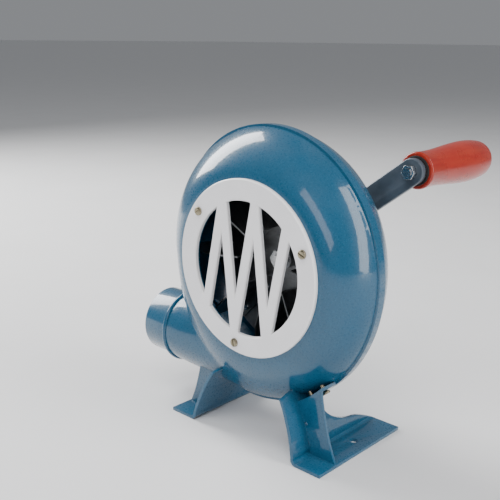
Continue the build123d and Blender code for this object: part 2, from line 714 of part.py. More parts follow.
def gearbox_base():
    """Cast plate on the rear shell, with the fan shaft's long boss and two blind bush seats."""
    body = plate(two_lobes(CRANK_CAVITY + FLANGE_REACH, IDLER_CAVITY + FLANGE_REACH), CASE_DEPTH, BASE_REAR)
    bosses = (
        (FAN_OFFSET, BOSS_FRONT, FAN_BOSS, FAN_SHAFT_RADIUS, BOSS_FRONT - CUT),
        (CRANK_OFFSET, BASE_REAR, CRANK_BASE_BOSS, CRANK_SHAFT_RADIUS, CRANK_BUSHES[0][0]),
        (IDLER_OFFSET, BASE_REAR, IDLER_BASE_BOSS, IDLER_SHAFT_RADIUS, IDLER_BUSHES[0][0]),
    )
    for centre, front, (radius, rear), shaft_radius, seat in bosses:
        body = body + rod(*centre, front, rear, radius)
        body = body - rod(*centre, seat, rear + CUT, shaft_radius + BUSH_WALL)
    return cut_screw_holes(body, CASE_DEPTH - CUT, BASE_REAR + CUT)


def gearbox_gasket():
    """Flat gasket between the base and the cover."""
    rim = two_lobes(CRANK_CAVITY + FLANGE_REACH, IDLER_CAVITY + FLANGE_REACH)
    body = plate(rim - two_lobes(CRANK_CAVITY, IDLER_CAVITY), BASE_REAR, BASE_REAR + GASKET)
    return cut_screw_holes(body, BASE_REAR - CUT, BASE_REAR + GASKET + CUT)


def gearbox_cover():
    """Pressed cap over the gears, with the crank bush's boss."""
    front = BASE_REAR + GASKET
    body = plate(two_lobes(CRANK_CAVITY + COVER_WALL, IDLER_CAVITY + COVER_WALL), front, COVER_REAR)
    body = fillet(body.edges().group_by(Axis.Y)[-1], COVER_ROUNDING)
    flange = two_lobes(CRANK_CAVITY + FLANGE_REACH, IDLER_CAVITY + FLANGE_REACH)
    body = body + plate(flange, front, front + FLANGE)
    inside = COVER_REAR - COVER_WALL
    cavity = plate(two_lobes(CRANK_CAVITY, IDLER_CAVITY), front - CUT, inside)
    body = body - fillet(cavity.edges().group_by(Axis.Y)[-1], COVER_INNER_ROUNDING)
    body = body + rod(*CRANK_OFFSET, inside, CRANK_BOSS_REAR, CRANK_COVER_BOSS)
    body = body + rod(*IDLER_OFFSET, inside, IDLER_COVER_BOSS[1], IDLER_COVER_BOSS[0])
    body = body - rod(*CRANK_OFFSET, inside - CUT, CRANK_BOSS_REAR + CUT, CRANK_SHAFT_RADIUS + BUSH_WALL)
    body = body - rod(*IDLER_OFFSET, inside - 2 * CUT, IDLER_BUSHES[1][1], IDLER_SHAFT_RADIUS + BUSH_WALL)
    return cut_screw_holes(body, front - CUT, front + FLANGE + CUT)


def gearbox_screws():
    """Cheese-head screws that clamp the cover, the base and the rear shell."""
    screws = []
    seat = BASE_REAR + GASKET + FLANGE
    for x, z in gearbox_screw_places():
        head = rod(x, z, seat, seat + CHEESE_HEAD[1], CHEESE_HEAD[0])
        head = chamfer(head.edges().group_by(Axis.Y)[-1], CHEESE_HEAD_EDGE)
        slot = Pos(x, depth(seat + CHEESE_HEAD[1]), AXIS_HEIGHT + z) * Box(*CHEESE_HEAD_SLOT)
        screws.append(head - slot + rod(x, z, GEARBOX_SHANK_FRONT, seat, GEARBOX_SHANK_RADIUS))
    return screws


def gearbox_nuts():
    """Hexagon nuts of the gearbox screws, inside the rear shell."""
    nuts = []
    rear = CASE_DEPTH - WALL
    front = rear - GEARBOX_NUT[1]
    for x, z in gearbox_screw_places():
        hole = rod(x, z, front - CUT, rear + CUT, GEARBOX_SHANK_RADIUS)
        nuts.append(hexagon(x, z, front, rear, GEARBOX_NUT[0]) - hole)
    return nuts


# ---------------------------------------------------------------- shafts and bushes

def fan_shaft():
    """Fan shaft, stepped down for its pinion."""
    seat = rod(0, 0, FAN_SHAFT_STEP, FAN_PINION_LAYER[1], FAN_SEAT_RADIUS)
    return rod(0, 0, FAN_SHAFT_FRONT, FAN_SHAFT_STEP, FAN_SHAFT_RADIUS) + seat


def fan_bushes():
    return bushes(FAN_OFFSET, FAN_BUSHES, FAN_SHAFT_RADIUS)


def idler_shaft():
    return rod(*IDLER_OFFSET, *IDLER_SHAFT_ENDS, IDLER_SHAFT_RADIUS)


def idler_bushes():
    return bushes(IDLER_OFFSET, IDLER_BUSHES, IDLER_SHAFT_RADIUS)


def crank_shaft():
    """Crank shaft, stepped down to a stud that holds the arm."""
    stud = rod(*CRANK_OFFSET, ARM_FRONT, CRANK_STUD_REAR, STUD_RADIUS)
    return rod(*CRANK_OFFSET, CRANK_SHAFT_FRONT, ARM_FRONT, CRANK_SHAFT_RADIUS) + stud


def crank_bushes():
    return bushes(CRANK_OFFSET, CRANK_BUSHES, CRANK_SHAFT_RADIUS)


# ---------------------------------------------------------------- impeller

def impeller_disc():
    """Sheet disc that carries the blades."""
    rear = IMPELLER_DISC_DEPTH + IMPELLER_SHEET
    disc = rod(0, 0, IMPELLER_DISC_DEPTH, rear, IMPELLER_RADIUS)
    disc = disc - rod(0, 0, IMPELLER_DISC_DEPTH - CUT, rear + CUT, HUB_RADIUS)
    for x, z in rivet_places():
        disc = disc - rod(x, z, IMPELLER_DISC_DEPTH - CUT, rear + CUT, RIVET_RADIUS)
    return disc


def rivet_places():
    """Two rivets for each blade foot and four for the hub flange."""
    places = []
    side = BLADE_FOOT / 2 + IMPELLER_SHEET / 2
    for index in range(BLADES):
        angle = 360.0 * index / BLADES
        for radius in RIVET_CIRCLES:
            places.append(along(angle + 90.0, side, along(angle, radius)))
    places += [along(90.0 * index + 45.0, HUB_RIVET_CIRCLE) for index in range(4)]
    return places


def impeller_blades():
    """Straight radial blades, each bent from sheet with a foot on the disc."""
    plane = Plane(origin=(0, 0, AXIS_HEIGHT), x_dir=(1, 0, 0), z_dir=(0, 0, 1))
    inner = BLADE_FRONT_CORNERS[0][0]
    outer = IMPELLER_RADIUS - BLADE_TIP_GAP
    outline = Polyline(
        (inner, depth(IMPELLER_DISC_DEPTH)),
        *[(radius, depth(place)) for radius, place in BLADE_FRONT_CORNERS],
        (outer, depth(IMPELLER_DISC_DEPTH)),
        close=True,
    )
    wall = extrude(plane * make_face(outline), amount=IMPELLER_SHEET / 2, both=True)
    length = outer - inner
    foot_x = inner + length / 2
    foot_y = depth(IMPELLER_DISC_DEPTH - IMPELLER_SHEET / 2)
    foot_sheet = Pos(foot_x, foot_y, AXIS_HEIGHT + BLADE_FOOT / 2) * Box(length, IMPELLER_SHEET, BLADE_FOOT)
    blade = wall + foot_sheet
    side = BLADE_FOOT / 2 + IMPELLER_SHEET / 2
    foot_front = IMPELLER_DISC_DEPTH - IMPELLER_SHEET
    for radius in RIVET_CIRCLES:
        blade = blade - rod(radius, side, foot_front - CUT, IMPELLER_DISC_DEPTH + CUT, RIVET_RADIUS)
    axis = Axis((0, 0, AXIS_HEIGHT), (0, -1, 0))
    return [blade.rotate(axis, 360.0 * index / BLADES) for index in range(BLADES)]


def impeller_rivets():
    """Round-head rivets of the blades and the hub."""
    rivets = []
    for index, (x, z) in enumerate(rivet_places()):
        on_hub = index >= 2 * BLADES
        front = IMPELLER_DISC_DEPTH if on_hub else IMPELLER_DISC_DEPTH - IMPELLER_SHEET
        rear = IMPELLER_DISC_DEPTH + IMPELLER_SHEET + (HUB_FLANGE[1] if on_hub else 0.0)
        head = rod(x, z, front - RIVET_HEAD[1], front, RIVET_HEAD[0])
        head = fillet(head.edges().group_by(Axis.Y)[0], RIVET_HEAD_ROUNDING)
        tail = rod(x, z, rear, rear + RIVET_TAIL[1], RIVET_TAIL[0])
        rivets.append(head + tail + rod(x, z, front, rear, RIVET_RADIUS))
    return rivets


def impeller_hub():
    """Turned hub with a flange behind the disc."""
    flange_front = IMPELLER_DISC_DEPTH + IMPELLER_SHEET
    rear = flange_front + HUB_FLANGE[1]
    body = rod(0, 0, HUB_FRONT, flange_front, HUB_RADIUS) + rod(0, 0, flange_front, rear, HUB_FLANGE[0])
    for x, z in rivet_places()[2 * BLADES:]:
        body = body - rod(x, z, flange_front - CUT, rear + CUT, RIVET_RADIUS)
    return body - rod(0, 0, HUB_FRONT - CUT, rear + CUT, FAN_SHAFT_RADIUS)


def nut(centre, front, size, hole_radius):
    """Hexagon nut of a given (width across flats, height)."""
    across_flats, height = size
    body = hexagon(*centre, front, front + height, across_flats)
    return body - rod(*centre, front - CUT, front + height + CUT, hole_radius)


def washer(centre, front, size, hole_radius):
    """Flat washer of a given (radius, thickness)."""
    radius, thickness = size
    body = rod(*centre, front, front + thickness, radius)
    return body - rod(*centre, front - CUT, front + thickness + CUT, hole_radius)


def impeller_nut():
    return nut(FAN_OFFSET, HUB_FRONT - IMPELLER_NUT[1], IMPELLER_NUT, FAN_SHAFT_RADIUS)


# ---------------------------------------------------------------- crank and grip

GRIP_OFFSET = along(ARM_ANGLE, ARM_LENGTH, CRANK_OFFSET)
ARM_REAR = ARM_FRONT + ARM_THICKNESS


def crank_arm():
    """Flat bar with round ends, and a hole for the shaft's stud and for the spindle."""
    bar = Pos(ARM_LENGTH / 2, 0) * SlotCenterToCenter(ARM_LENGTH, ARM_WIDTH)
    bar = bar - Circle(STUD_RADIUS) - Pos(ARM_LENGTH, 0) * Circle(SPINDLE_THREAD_RADIUS)
    body = plate(Pos(*CRANK_OFFSET) * Rot(0, 0, ARM_ANGLE) * bar, ARM_FRONT, ARM_REAR)
    rims = body.edges().group_by(Axis.Y)
    outer_rims = [edge for edge in rims[0] + rims[-1] if edge.length > LONG_RIM]
    return chamfer(outer_rims, ARM_EDGE)


def crank_spacer():
    """Collar between the gearbox boss and the arm."""
    front = CRANK_BOSS_REAR + SPACER_PLAY
    return washer(CRANK_OFFSET, front, (SPACER_RADIUS, ARM_FRONT - front), CRANK_SHAFT_RADIUS)


def crank_washer():
    return washer(CRANK_OFFSET, ARM_REAR, CRANK_WASHER, STUD_RADIUS)


def crank_nut():
    """Hexagon nut on the shaft's stud."""
    return nut(CRANK_OFFSET, ARM_REAR + CRANK_WASHER[1], CRANK_NUT, STUD_RADIUS)


def grip_spindle():
    """Shouldered spindle of the grip, threaded through the arm."""
    thread = rod(*GRIP_OFFSET, ARM_FRONT - SPINDLE_THREAD_END, ARM_REAR, SPINDLE_THREAD_RADIUS)
    head_radius, head_front, head_rear = SPINDLE_HEAD
    shaft = rod(*GRIP_OFFSET, ARM_REAR, head_rear, SPINDLE_RADIUS)
    return thread + shaft + rod(*GRIP_OFFSET, head_front, head_rear, head_radius)


def grip_nut():
    """Nut on the face of the arm that looks away from the grip."""
    return nut(GRIP_OFFSET, ARM_FRONT - GRIP_NUT[1], GRIP_NUT, SPINDLE_THREAD_RADIUS)


def grip_washer():
    return washer(GRIP_OFFSET, ARM_REAR, GRIP_WASHER, SPINDLE_RADIUS)


def grip():
    """Moulded grip that turns on the spindle: it swells towards its rounded far end."""
    near = depth(ARM_REAR + GRIP_PLAY)
    far = near + GRIP_LENGTH
    shoulder = (GRIP_SHOULDER[0], far - GRIP_SHOULDER[1])
    lip_start = (GRIP_NEAR_RADIUS - GRIP_LIP, near)
    lip_end = (GRIP_NEAR_RADIUS, near + GRIP_LIP_LENGTH)
    recess_radius, recess_length = GRIP_RECESS
    bore = SPINDLE_RADIUS + RUNNING_FIT
    plane = Plane(origin=(GRIP_OFFSET[0], 0, AXIS_HEIGHT + GRIP_OFFSET[1]), x_dir=(1, 0, 0), z_dir=(0, 0, 1))
    swell = [(radius, near + GRIP_LENGTH * share) for share, radius in GRIP_SWELL]
    side = Spline(lip_end, *swell, shoulder)
    nose = ThreePointArc(shoulder, (GRIP_NOSE[0], far - GRIP_NOSE[1]), (GRIP_PLUG_RADIUS, far))
    lip_middle = (GRIP_NEAR_RADIUS - GRIP_LIP / 3, near + GRIP_LIP_LENGTH / 4)
    lip = ThreePointArc(lip_start, lip_middle, lip_end)
    inside = Polyline(
        (GRIP_PLUG_RADIUS, far),
        (GRIP_PLUG_RADIUS, depth(GRIP_FLOOR_DEPTH)),
        (bore, depth(GRIP_FLOOR_DEPTH)),
        (bore, near + recess_length),
        (recess_radius, near + recess_length),
        (recess_radius, near),
        lip_start,
    )
    profile = plane * make_face(side + nose + inside + lip)
    return revolve(profile, Axis(plane.origin, (0, 1, 0)))


def grip_cap():
    """Plug that closes the far end of the grip."""
    far = ARM_REAR + GRIP_PLAY + GRIP_LENGTH
    body = rod(*GRIP_OFFSET, CAP_FRONT, far + CAP_RISE, GRIP_PLUG_RADIUS)
    return fillet(body.edges().group_by(Axis.Y)[-1], CAP_ROUNDING)


# ---------------------------------------------------------------- export

PARTS = {
    "front_shell": front_shell,
    "rear_shell": rear_shell,
    "outlet_sleeve": outlet_sleeve,
    "inlet_grille": inlet_grille,
    "grille_screws": grille_screws,
    "right_foot": right_foot,
    "left_foot": left_foot,
    "foot_screws": foot_screws,
    "gearbox_base": gearbox_base,
    "gearbox_gasket": gearbox_gasket,
    "gearbox_cover": gearbox_cover,
    "gearbox_screws": gearbox_screws,
    "gearbox_nuts": gearbox_nuts,
    "fan_bushes": fan_bushes,
    "idler_bushes": idler_bushes,
    "crank_bushes": crank_bushes,
    "fan_shaft": fan_shaft,
    "fan_pinion": fan_pinion,
    "impeller_disc": impeller_disc,
    "impeller_blades": impeller_blades,
    "impeller_rivets": impeller_rivets,
    "impeller_hub": impeller_hub,
    "impeller_nut": impeller_nut,
    "idler_shaft": idler_shaft,
    "idler_gear": idler_gear,
    "idler_pinion": idler_pinion,
    "crank_shaft": crank_shaft,
    "crank_gear": crank_gear,
    "crank_spacer": crank_spacer,
    "crank_arm": crank_arm,
    "crank_washer": crank_washer,
    "crank_nut": crank_nut,
    "grip_spindle": grip_spindle,
    "grip_nut": grip_nut,
    "grip_washer": grip_washer,
    "grip": grip,
    "grip_cap": grip_cap,
}


def main():
    os.makedirs("parts", exist_ok=True)
    for name, make in PARTS.items():
        shape = make()
        if isinstance(shape, list):
            shape = Compound(children=[Part() + piece for piece in shape])
        export_step(shape, f"parts/{name}.step")


main()
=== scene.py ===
import bmesh
import bpy
import json
import math
from bpy.props import FloatProperty, FloatVectorProperty, IntProperty, PointerProperty
from bpy.types import Operator, Panel, PropertyGroup
from mathutils import Matrix, Vector


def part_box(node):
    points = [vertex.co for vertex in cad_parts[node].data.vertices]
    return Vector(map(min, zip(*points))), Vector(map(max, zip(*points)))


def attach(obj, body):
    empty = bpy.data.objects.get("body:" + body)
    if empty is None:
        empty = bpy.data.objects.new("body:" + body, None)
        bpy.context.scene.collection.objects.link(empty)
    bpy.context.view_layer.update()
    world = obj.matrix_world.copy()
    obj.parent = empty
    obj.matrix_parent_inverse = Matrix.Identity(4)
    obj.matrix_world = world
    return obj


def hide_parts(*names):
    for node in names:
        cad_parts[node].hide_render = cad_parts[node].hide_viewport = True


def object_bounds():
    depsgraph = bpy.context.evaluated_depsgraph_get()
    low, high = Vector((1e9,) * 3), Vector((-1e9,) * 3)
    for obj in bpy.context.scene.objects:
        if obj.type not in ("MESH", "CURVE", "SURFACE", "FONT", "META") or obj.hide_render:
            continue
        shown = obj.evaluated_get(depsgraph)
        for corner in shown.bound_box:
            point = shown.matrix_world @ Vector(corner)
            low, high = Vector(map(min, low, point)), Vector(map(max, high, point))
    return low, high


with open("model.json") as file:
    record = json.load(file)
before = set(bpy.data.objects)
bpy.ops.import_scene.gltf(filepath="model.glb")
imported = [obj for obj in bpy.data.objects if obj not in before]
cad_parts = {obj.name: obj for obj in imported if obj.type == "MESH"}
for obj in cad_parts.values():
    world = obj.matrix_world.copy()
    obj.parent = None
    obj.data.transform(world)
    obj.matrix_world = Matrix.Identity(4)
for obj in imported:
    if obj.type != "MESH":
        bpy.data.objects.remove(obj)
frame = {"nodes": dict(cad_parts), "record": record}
CAD_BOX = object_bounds()

bl_info = {
    "name": "Hand-cranked forge blower",
    "version": (1, 0, 0),
    "blender": (4, 5, 0),
    "location": "3D View > Sidebar > Blower",
    "description": "Finishes and fine pieces for a hand-cranked forge blower around its fixed frame",
    "category": "Object",
}

MM = 0.001

# Reading the frame's meshes.
MERGE_REACH = 0.002 * MM
FLAT_ANGLE = math.radians(1.0)
SHARP_ANGLE = math.radians(28.0)
RING_STEPS = 96
RING_SHARP_ANGLE = math.radians(35.0)

# Sockets of the colour Mix node.
MIX_FACTOR = 0
MIX_FIRST = 6
MIX_SECOND = 7
MIX_RESULT = 2


# ---------------------------------------------------------------- sizes and colours

class BlowerFinishes(PropertyGroup):
    """Colours of the blower's paints, plastic and metals."""

    enamel: FloatVectorProperty(
        name="Enamel", description="Body colour of the blue enamel", subtype="COLOR",
        size=3, min=0, max=1, default=(0.0066, 0.084, 0.163),
    )
    enamel_flake: FloatVectorProperty(
        name="Enamel flake", description="Colour of the fine flakes in the enamel", subtype="COLOR",
        size=3, min=0, max=1, default=(0.036, 0.188, 0.310),
    )
    plate: FloatVectorProperty(
        name="Inlet plate", description="Pale grey paint of the inlet plate", subtype="COLOR",
        size=3, min=0, max=1, default=(0.935, 0.935, 0.950),
    )
    arm: FloatVectorProperty(
        name="Crank arm", description="Dark grey coat of the crank arm", subtype="COLOR",
        size=3, min=0, max=1, default=(0.070, 0.092, 0.115),
    )
    grip: FloatVectorProperty(
        name="Grip", description="Orange-red plastic of the grip", subtype="COLOR",
        size=3, min=0, max=1, default=(0.325, 0.016, 0.008),
    )


class BlowerSizes(PropertyGroup):
    """Sizes of the fine work on the pieces."""

    sheet_edge: FloatProperty(
        name="Sheet edge", description="Rounding of pressed and cut edges", subtype="DISTANCE",
        unit="LENGTH", min=0.0001, max=0.002, default=0.0005,
    )
    edge_steps: IntProperty(
        name="Edge steps", description="Segments across a rounded edge", min=1, max=6, default=3,
    )
    flake: FloatProperty(
        name="Flake", description="Size of one flake in the enamel", subtype="DISTANCE",
        unit="LENGTH", min=0.0001, max=0.002, default=0.0007,
    )
    # Sizes of the dark washer in the grip's recess, a piece put there as painted shade for the gap between
    # the arm and the grip.
    shade_washer_bore: FloatProperty(
        name="Washer bore", description="Radius of the hole in the fibre washer", subtype="DISTANCE",
        unit="LENGTH", min=0.003, default=4.1 * MM,
    )
    shade_washer_radius: FloatProperty(
        name="Washer radius", description="Outer radius of the fibre washer", subtype="DISTANCE",
        unit="LENGTH", min=0.005, default=11.2 * MM,
    )
    shade_washer_edge: FloatProperty(
        name="Washer edge", description="Chamfer of the fibre washer's outer edges", subtype="DISTANCE",
        unit="LENGTH", min=0.0, default=0.3 * MM,
    )
    shade_washer_gap: FloatProperty(
        name="Washer gap", description="From the steel washer to the fibre washer", subtype="DISTANCE",
        unit="LENGTH", min=0.0, default=0.05 * MM,
    )
    grip_recess: FloatProperty(
        name="Grip recess", description="Depth to which the fibre washer sits in the grip",
        subtype="DISTANCE", unit="LENGTH", min=0.0, default=2.1 * MM,
    )


class BlowerStage(PropertyGroup):
    """Camera and light."""

    azimuth: FloatProperty(
        name="Azimuth", description="Turn of the view from the inlet side to the right",
        subtype="ANGLE", unit="ROTATION", default=math.radians(42.92),
    )
    elevation: FloatProperty(
        name="Elevation", description="Height of the view above level", subtype="ANGLE",
        unit="ROTATION", default=math.radians(14.94),
    )
    roll: FloatProperty(
        name="Roll", description="Turn of the camera about its own line of sight", subtype="ANGLE",
        unit="ROTATION", default=math.radians(0.58),
    )
    distance: FloatProperty(
        name="Distance", description="From the camera to the middle of the inlet plate",
        subtype="DISTANCE", unit="LENGTH", min=0.1, default=0.5636,
    )
    slide_right: FloatProperty(
        name="Slide right", description="Camera moved along its own right", subtype="DISTANCE",
        unit="LENGTH", default=0.0028,
    )
    slide_up: FloatProperty(
        name="Slide up", description="Camera moved along its own up", subtype="DISTANCE",
        unit="LENGTH", default=0.0135,
    )
    lens: FloatProperty(
        name="Lens", description="Focal length on a 36 mm sensor, in millimetres", min=10, default=56.96,
    )
    floor_reach: FloatProperty(
        name="Floor reach", description="Half the width of the floor", subtype="DISTANCE",
        unit="LENGTH", min=1.0, default=60.0,
    )
    room_light: FloatProperty(
        name="Room light", description="Strength of the even light from all round", min=0.0, default=0.27,
    )


# ---------------------------------------------------------------- node trees

def add(tree, kind, values=None, **settings):
    """Add a shader node, with its settings and the values of its input sockets."""
    node = tree.nodes.new(kind)
    for key, value in settings.items():
        setattr(node, key, value)
    for key, value in (values or {}).items():
        node.inputs[key].default_value = value
    return node


def join(tree, start, end):
    tree.links.new(start, end)


def new_group(name, inputs, outputs):
    """Start a node group: inputs and outputs are lists of (name, socket type, default)."""
    tree = bpy.data.node_groups.new(name, "ShaderNodeTree")
    for socket_name, socket_type, default in inputs:
        socket = tree.interface.new_socket(socket_name, in_out="INPUT", socket_type=socket_type)
        socket.default_value = default
    for socket_name, socket_type in outputs:
        tree.interface.new_socket(socket_name, in_out="OUTPUT", socket_type=socket_type)
    return tree, tree.nodes.new("NodeGroupInput"), tree.nodes.new("NodeGroupOutput")


def place_group(tree, name, values=None):
    node = tree.nodes.new("ShaderNodeGroup")
    node.node_tree = bpy.data.node_groups[name]
    for key, value in (values or {}).items():
        node.inputs[key].default_value = value
    return node


def maths(tree, operation, first, second):
    """Maths node; each side is a number or a socket."""
    node = add(tree, "ShaderNodeMath", operation=operation)
    for index, side in enumerate((first, second)):
        if isinstance(side, (int, float)):
            node.inputs[index].default_value = side
        else:
            join(tree, side, node.inputs[index])
    return node.outputs[0]


def spread(tree, socket, low, high, new_low=0.0, new_high=1.0):
    """Map a range of values onto another, clamped."""
    node = add(tree, "ShaderNodeMapRange", {"From Min": low, "From Max": high, "To Min": new_low,
                                            "To Max": new_high})
    join(tree, socket, node.inputs["Value"])
    return node.outputs["Result"]


def mix_colour(tree, factor, first, second):
    """Mix two colours; the factor is a number or a socket, the colours are tuples or sockets."""
    node = add(tree, "ShaderNodeMix", data_type="RGBA")
    for index, side in ((MIX_FACTOR, factor), (MIX_FIRST, first), (MIX_SECOND, second)):
        if isinstance(side, bpy.types.NodeSocket):
            join(tree, side, node.inputs[index])
        elif index == MIX_FACTOR:
            node.inputs[index].default_value = side
        else:
            node.inputs[index].default_value = (*side[:3], 1.0)
    return node.outputs[MIX_RESULT]


def tint(colour, factor, brightest=1.0):
    """A colour made darker or lighter."""
    return [min(part * factor, brightest) for part in colour]


def noise(tree, scale, detail=2.0, roughness=0.5, vector=None):
    node = add(tree, "ShaderNodeTexNoise", {"Detail": detail, "Roughness": roughness})
    if isinstance(scale, (int, float)):
        node.inputs["Scale"].default_value = scale
    else:
        join(tree, scale, node.inputs["Scale"])
    join(tree, vector or object_place(tree), node.inputs["Vector"])
    return node.outputs["Fac"]


def object_place(tree):
    """Object coordinates, in metres."""
    return add(tree, "ShaderNodeTexCoord").outputs["Object"]


# ---------------------------------------------------------------- shared effects

def build_flakes():
    """Fine bright flakes and the soft ripple of a sprayed enamel."""
    tree, start, end = new_group(
        "Enamel flakes",
        [("Size", "NodeSocketFloat", 0.0005), ("Share", "NodeSocketFloat", 0.3)],
        [("Flakes", "NodeSocketFloat"), ("Ripple", "NodeSocketFloat")],
    )
    scale = maths(tree, "DIVIDE", 1.0, start.outputs["Size"])
    cells = add(tree, "ShaderNodeTexVoronoi", feature="F1")
    join(tree, scale, cells.inputs["Scale"])
    join(tree, object_place(tree), cells.inputs["Vector"])
    bright = add(tree, "ShaderNodeSeparateColor")
    join(tree, cells.outputs["Color"], bright.inputs["Color"])
    level = maths(tree, "SUBTRACT", 1.0, start.outputs["Share"])
    flake = add(tree, "ShaderNodeMapRange", {"To Min": 0.0, "To Max": 1.0, "From Max": 1.0})
    join(tree, bright.outputs[0], flake.inputs["Value"])
    join(tree, level, flake.inputs["From Min"])
    core = spread(tree, cells.outputs["Distance"], 0.65, 0.15)
    join(tree, maths(tree, "MULTIPLY", flake.outputs["Result"], core), end.inputs["Flakes"])
    soft = noise(tree, maths(tree, "MULTIPLY", scale, 0.45), 2.0, 0.6)
    join(tree, soft, end.inputs["Ripple"])


def build_edge_wear():
    """Mask of the outer edges, broken up by a grain."""
    tree, start, end = new_group(
        "Edge wear",
        [("Reach", "NodeSocketFloat", 0.0006), ("Grain", "NodeSocketFloat", 900.0),
         ("Amount", "NodeSocketFloat", 0.6)],
        [("Mask", "NodeSocketFloat")],
    )
    rounded = add(tree, "ShaderNodeBevel", samples=4)
    join(tree, start.outputs["Reach"], rounded.inputs["Radius"])
    flat = add(tree, "ShaderNodeNewGeometry")
    turn = add(tree, "ShaderNodeVectorMath", operation="DOT_PRODUCT")
    join(tree, rounded.outputs["Normal"], turn.inputs[0])
    join(tree, flat.outputs["Normal"], turn.inputs[1])
    edge = spread(tree, turn.outputs["Value"], 0.985, 0.86)
    broken = spread(tree, noise(tree, start.outputs["Grain"], 3.0, 0.65), 0.38, 0.62)
    worn = maths(tree, "MULTIPLY", edge, broken)
    join(tree, maths(tree, "MULTIPLY", worn, start.outputs["Amount"]), end.inputs["Mask"])


def build_dust():
    """Mask of fine dust that settles on what faces up."""
    tree, start, end = new_group(
        "Settled dust",
        [("Amount", "NodeSocketFloat", 0.15)],
        [("Mask", "NodeSocketFloat")],
    )
    normal = add(tree, "ShaderNodeSeparateXYZ")
    join(tree, add(tree, "ShaderNodeNewGeometry").outputs["Normal"], normal.inputs[0])
    upward = spread(tree, normal.outputs["Z"], 0.1, 0.95)
    patches = spread(tree, noise(tree, 45.0, 5.0, 0.6), 0.35, 0.75)
    settled = maths(tree, "MULTIPLY", upward, patches)
    join(tree, maths(tree, "MULTIPLY", settled, start.outputs["Amount"]), end.inputs["Mask"])


def build_grain():
    """Long fine lines of rolled, ground or turned metal, as a height and a tone."""
    tree, start, end = new_group(
        "Metal grain",
        [("Along", "NodeSocketVector", (1.0, 1.0, 1.0)), ("Fineness", "NodeSocketFloat", 700.0)],
        [("Height", "NodeSocketFloat"), ("Tone", "NodeSocketFloat")],
    )
    stretch = add(tree, "ShaderNodeVectorMath", operation="MULTIPLY")
    join(tree, object_place(tree), stretch.inputs[0])
    join(tree, start.outputs["Along"], stretch.inputs[1])
    fine = noise(tree, start.outputs["Fineness"], 4.0, 0.6, stretch.outputs[0])
    join(tree, fine, end.inputs["Height"])
    join(tree, spread(tree, fine, 0.3, 0.7), end.inputs["Tone"])


def build_smudge():
    """Broad uneven patches: handling marks, thin paint, oil."""
    tree, start, end = new_group(
        "Smudge",
        [("Scale", "NodeSocketFloat", 30.0), ("Low", "NodeSocketFloat", 0.4),
         ("High", "NodeSocketFloat", 0.7)],
        [("Mask", "NodeSocketFloat")],
    )
    patches = add(tree, "ShaderNodeMapRange")
    join(tree, noise(tree, start.outputs["Scale"], 4.0, 0.55), patches.inputs["Value"])
    join(tree, start.outputs["Low"], patches.inputs["From Min"])
    join(tree, start.outputs["High"], patches.inputs["From Max"])
    join(tree, patches.outputs["Result"], end.inputs["Mask"])


# ---------------------------------------------------------------- materials

def start_material(name, **shader_values):
    """New material with its shader; the values are constants on the shader's own sockets."""
    material = bpy.data.materials.new(name)
    material.use_nodes = True
    shader = material.node_tree.nodes["Principled BSDF"]
    for key, value in shader_values.items():
        shader.inputs[key.replace("_", " ")].default_value = value
    return material, material.node_tree, shader


def add_bump(tree, shader, height, distance, strength=1.0):
    bump = add(tree, "ShaderNodeBump", {"Distance": distance, "Strength": strength})
    join(tree, height, bump.inputs["Height"])
    join(tree, bump.outputs["Normal"], shader.inputs["Normal"])


def enamel_material(scene):
    """Glossy blue enamel with fine flakes, slightly uneven, with a little dust on top."""
    material, tree, shader = start_material(
        "blue_enamel", Coat_Weight=0.85, Coat_Roughness=0.07, Specular_IOR_Level=0.25
    )
    colour = scene.blower_finishes.enamel
    flakes = place_group(tree, "Enamel flakes", {"Size": scene.blower_sizes.flake, "Share": 0.42})
    smudge = place_group(tree, "Smudge", {"Scale": 18.0, "Low": 0.3, "High": 0.75})
    dust = place_group(tree, "Settled dust", {"Amount": 0.05})
    deep = mix_colour(tree, smudge.outputs["Mask"], tint(colour, 0.88), tint(colour, 1.08))
    sparkle = maths(tree, "MULTIPLY", flakes.outputs["Flakes"], 0.55)
    speckled = mix_colour(tree, sparkle, deep, scene.blower_finishes.enamel_flake)
    dusty = mix_colour(tree, dust.outputs["Mask"], speckled, (0.45, 0.46, 0.46))
    join(tree, dusty, shader.inputs["Base Color"])
    join(tree, spread(tree, flakes.outputs["Ripple"], 0.3, 0.7, 0.24, 0.36), shader.inputs["Roughness"])
    add_bump(tree, shader, flakes.outputs["Ripple"], 0.00006, 0.35)
    return material


def plate_material(scene):
    """Satin pale grey paint with a faint texture; its thin bevelled edges are painted near white as a
    painted highlight.
    """
    material, tree, shader = start_material("grille_plate", Coat_Weight=0.25, Coat_Roughness=0.25)
    colour = scene.blower_finishes.plate
    smudge = place_group(tree, "Smudge", {"Scale": 40.0, "Low": 0.35, "High": 0.7})
    facing = add(tree, "ShaderNodeSeparateXYZ")
    join(tree, add(tree, "ShaderNodeNewGeometry").outputs["Normal"], facing.inputs[0])
    # Painted highlight: faces turned away from the plate's front, the bevels and cut sides, are painted
    # near white.
    highlight_bevels = spread(tree, maths(tree, "ABSOLUTE", facing.outputs["Y"], 0.0), 0.97, 0.8)
    paint = mix_colour(tree, smudge.outputs["Mask"], tint(colour, 0.95), colour)
    highlighted_edges = mix_colour(tree, highlight_bevels, paint, (0.93, 0.93, 0.93))
    join(tree, highlighted_edges, shader.inputs["Base Color"])
    fine = noise(tree, 2600.0, 2.0, 0.5)
    join(tree, spread(tree, fine, 0.3, 0.7, 0.36, 0.46), shader.inputs["Roughness"])
    add_bump(tree, shader, fine, 0.00002, 0.3)
    return material


